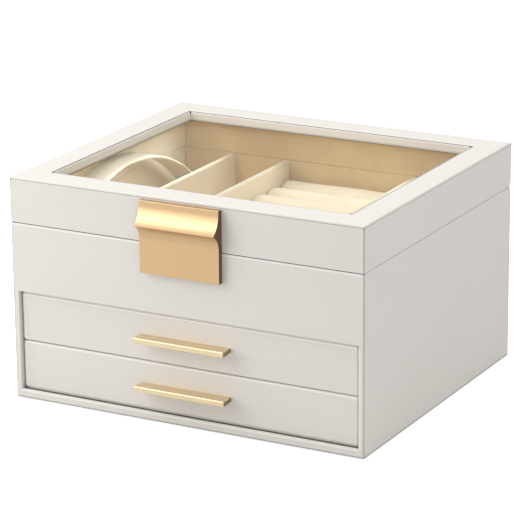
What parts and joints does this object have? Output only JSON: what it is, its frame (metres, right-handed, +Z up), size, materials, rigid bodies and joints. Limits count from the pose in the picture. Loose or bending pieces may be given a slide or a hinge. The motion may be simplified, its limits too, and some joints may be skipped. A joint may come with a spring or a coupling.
{
  "type": "jewellery box with drawers",
  "caption": "Rectangular jewellery box in pale wrapped leather, with a hinged glass-window lid, a gold clasp plate with a finger lip, drawers with gold bar pulls and velvet-lined compartments.",
  "frame": {"origin": "centre of the box's footprint, on the surface it stands on", "axes": "+X to the right as seen from the clasp side, +Y from the clasp to the hinges, +Z up"},
  "size_m": [0.28, 0.2564, 0.166],
  "materials": {
    "white_leather": "fine grained wrapped sheet, satin, warm white",
    "cream_velvet": "short pile velvet, cream",
    "felt": "thin matt felt",
    "fibreboard": "raw fibreboard",
    "clear_glass": "clear, polished",
    "satin_gold": "satin pale gold plating",
    "hinge_brass": "plain brass",
    "steel": "plain zinc-plated steel"
  },
  "bodies": {
    "case": {"base_felt": "felt", "base_panel": "fibreboard", "front_frame": "white_leather", "left_side_panel": "white_leather", "right_side_panel": "white_leather", "back_panel": "white_leather", "drawer_shelf": "fibreboard", "compartment_floor": "fibreboard", "floor_lining": "cream_velvet", "front_lining": "cream_velvet", "back_lining": "cream_velvet", "left_lining": "cream_velvet", "right_lining": "cream_velvet", "left_divider": "cream_velvet", "middle_divider": "cream_velvet", "right_divider": "cream_velvet", "ring_rolls": "cream_velvet", "bracelet_bridge": "cream_velvet", "case_magnet": "steel", "left_hinge_case_leaf": "hinge_brass", "right_hinge_case_leaf": "hinge_brass", "hinge_pins": "hinge_brass", "case_hinge_screws": "steel"},
    "lid": {"lid_top_frame": "white_leather", "window_bead": "white_leather", "lid_front_wall": "white_leather", "lid_back_wall": "white_leather", "lid_left_wall": "white_leather", "lid_right_wall": "white_leather", "lid_front_lining": "cream_velvet", "lid_back_lining": "cream_velvet", "lid_left_lining": "cream_velvet", "lid_right_lining": "cream_velvet", "glass_pane": "clear_glass", "clasp_plate": "satin_gold", "clasp_keeper": "steel", "clasp_screws": "steel", "left_hinge_lid_leaf": "hinge_brass", "right_hinge_lid_leaf": "hinge_brass", "lid_hinge_screws": "steel"},
    "upper_drawer": {"upper_drawer_front": "white_leather", "upper_drawer_left_side": "cream_velvet", "upper_drawer_right_side": "cream_velvet", "upper_drawer_back": "cream_velvet", "upper_drawer_bottom": "fibreboard", "upper_drawer_lining": "cream_velvet", "upper_drawer_pull": "satin_gold", "upper_drawer_pull_screws": "steel", "upper_drawer_long_divider": "cream_velvet", "upper_drawer_cross_dividers": "cream_velvet"},
    "lower_drawer": {"lower_drawer_front": "white_leather", "lower_drawer_left_side": "cream_velvet", "lower_drawer_right_side": "cream_velvet", "lower_drawer_back": "cream_velvet", "lower_drawer_bottom": "fibreboard", "lower_drawer_lining": "cream_velvet", "lower_drawer_pull": "satin_gold", "lower_drawer_pull_screws": "steel", "lower_drawer_divider": "cream_velvet"}
  },
  "joints": [
    {"name": "lid_hinge", "type": "hinge", "parent": "case", "child": "lid", "pos_m": [0, 0.121, 0.1325], "axis": [-1, 0, 0], "range_deg": [0, 98]},
    {"name": "upper_drawer_slide", "type": "slide", "parent": "case", "child": "upper_drawer", "axis": [0, -1, 0], "range_m": [0, 0.165]},
    {"name": "lower_drawer_slide", "type": "slide", "parent": "case", "child": "lower_drawer", "axis": [0, -1, 0], "range_m": [0, 0.165]}
  ]
}
